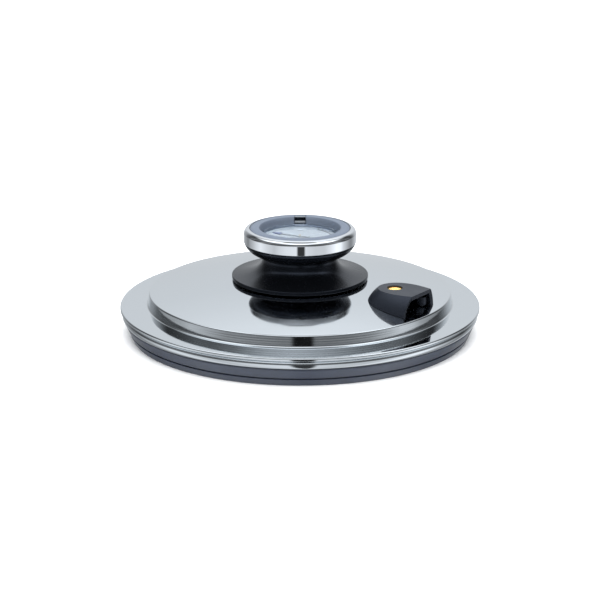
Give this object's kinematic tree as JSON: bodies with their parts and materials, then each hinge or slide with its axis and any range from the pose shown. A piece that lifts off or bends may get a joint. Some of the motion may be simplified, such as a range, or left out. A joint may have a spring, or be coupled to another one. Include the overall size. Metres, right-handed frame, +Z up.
{
  "type": "steam-cooking pot lid",
  "caption": "Domed stainless pot lid with a plug seal, a thermometer knob and a hooded steam outlet with a press button.",
  "frame": {"origin": "on the lid's axis, level with the foot of the seal", "axes": "+Z up along the knob; the steam outlet lies 35.5 degrees from +X towards -Y; the notch of the dial faces +Y"},
  "size_m": [0.215, 0.215, 0.0646],
  "materials": {
    "polished_steel": "mirror polished",
    "plain_steel": "satin",
    "chrome_trim": "bright",
    "aluminium": "satin",
    "brass": "satin",
    "black_phenolic": "fine matt",
    "grey_plastic": "fine matt",
    "bezel_plastic": "satin",
    "dial_paint": "satin",
    "pointer_paint": "satin",
    "lens": "clear",
    "seal_rubber": "satin",
    "silicone": "matt",
    "amber_plastic": "gloss"
  },
  "bodies": {
    "lid": {"lid_shell": "polished_steel", "seal_carrier": "plain_steel", "seal_ring": "seal_rubber", "knob_stud": "plain_steel", "stud_washer": "silicone", "base_washer": "silicone", "knob_flange": "black_phenolic", "flat_washer": "plain_steel", "stud_nut": "plain_steel", "knob_bowl": "black_phenolic", "chrome_ring": "chrome_trim", "bezel_ring": "bezel_plastic", "dock_catch": "dial_paint", "sensor_cup": "aluminium", "heat_probe": "brass", "bimetal_coil": "brass", "spindle_bush": "brass", "dial_plate": "dial_paint", "dial_lens": "lens", "knob_screw_1": "plain_steel", "knob_screw_2": "plain_steel", "knob_screw_3": "plain_steel", "outlet_hood": "grey_plastic", "seat_washer": "silicone", "nut_washer": "silicone", "valve_body": "plain_steel", "valve_nut": "plain_steel", "button_spring": "plain_steel", "splash_guard": "plain_steel", "hood_screw_1": "plain_steel", "hood_screw_2": "plain_steel", "screw_seal_1": "silicone", "screw_seal_2": "silicone"},
    "button": {"release_button": "amber_plastic", "valve_stem": "plain_steel", "valve_disc": "silicone", "disc_washer": "plain_steel"},
    "pointer": {"pointer_arm": "dial_paint", "pointer_tip": "pointer_paint", "pointer_spindle": "brass"}
  },
  "joints": [
    {"name": "button_press", "type": "slide", "parent": "lid", "child": "button", "axis": [0, 0, -1], "range_m": [0, 0.0018], "stiffness_N_per_m": 900, "springref_m": -0.0015, "deforming": ["button_spring"]},
    {"name": "pointer_turn", "type": "hinge", "parent": "lid", "child": "pointer", "pos_m": [0, 0, 0.0588], "axis": [0, 0, 1], "range_deg": [-240, 0], "stiffness_Nm_per_rad": 0.0004}
  ]
}
